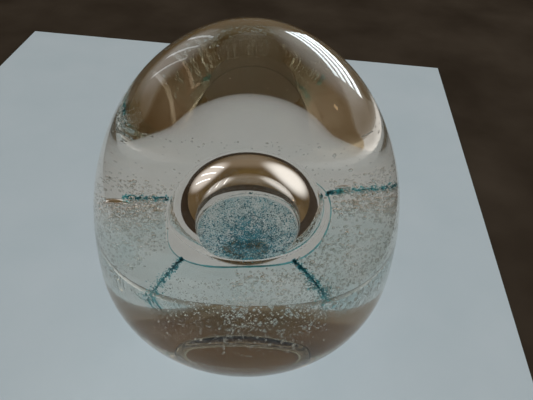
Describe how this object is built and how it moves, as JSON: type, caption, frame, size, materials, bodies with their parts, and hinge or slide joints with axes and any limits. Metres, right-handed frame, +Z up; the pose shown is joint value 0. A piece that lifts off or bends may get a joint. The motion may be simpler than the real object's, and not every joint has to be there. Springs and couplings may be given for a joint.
{
  "type": "glass egg paperweight",
  "caption": "Solid clear glass egg paperweight on a flat ground foot with a shallow hollow in it, with a large air bubble over a ring of aqua petals with teal creases inside.",
  "frame": {"origin": "centre of the ground foot, at the base of the bounding box", "axes": "+Z up along the egg's long axis, -Y the front, +X the right seen from the front"},
  "size_m": [0.075, 0.075, 0.081],
  "materials": {
    "casing_glass": "polished clear, faint warm tint",
    "core_glass": "polished clear",
    "frit_lining": "speckled teal frit",
    "petal_glass": "pale aqua, full of tiny bubbles",
    "teal_thread": "dense teal"
  },
  "bodies": {
    "root": {"clear_casing": "casing_glass", "clear_core": "core_glass", "dimple_frit_lining": "frit_lining", "veil_petal_1": "petal_glass", "veil_petal_2": "petal_glass", "veil_petal_3": "petal_glass", "veil_petal_4": "petal_glass", "veil_petal_5": "petal_glass", "rim_thread": "teal_thread", "crease_thread_1": "teal_thread", "crease_thread_2": "teal_thread", "crease_thread_3": "teal_thread", "crease_thread_4": "teal_thread", "crease_thread_5": "teal_thread"}
  },
  "joints": []
}
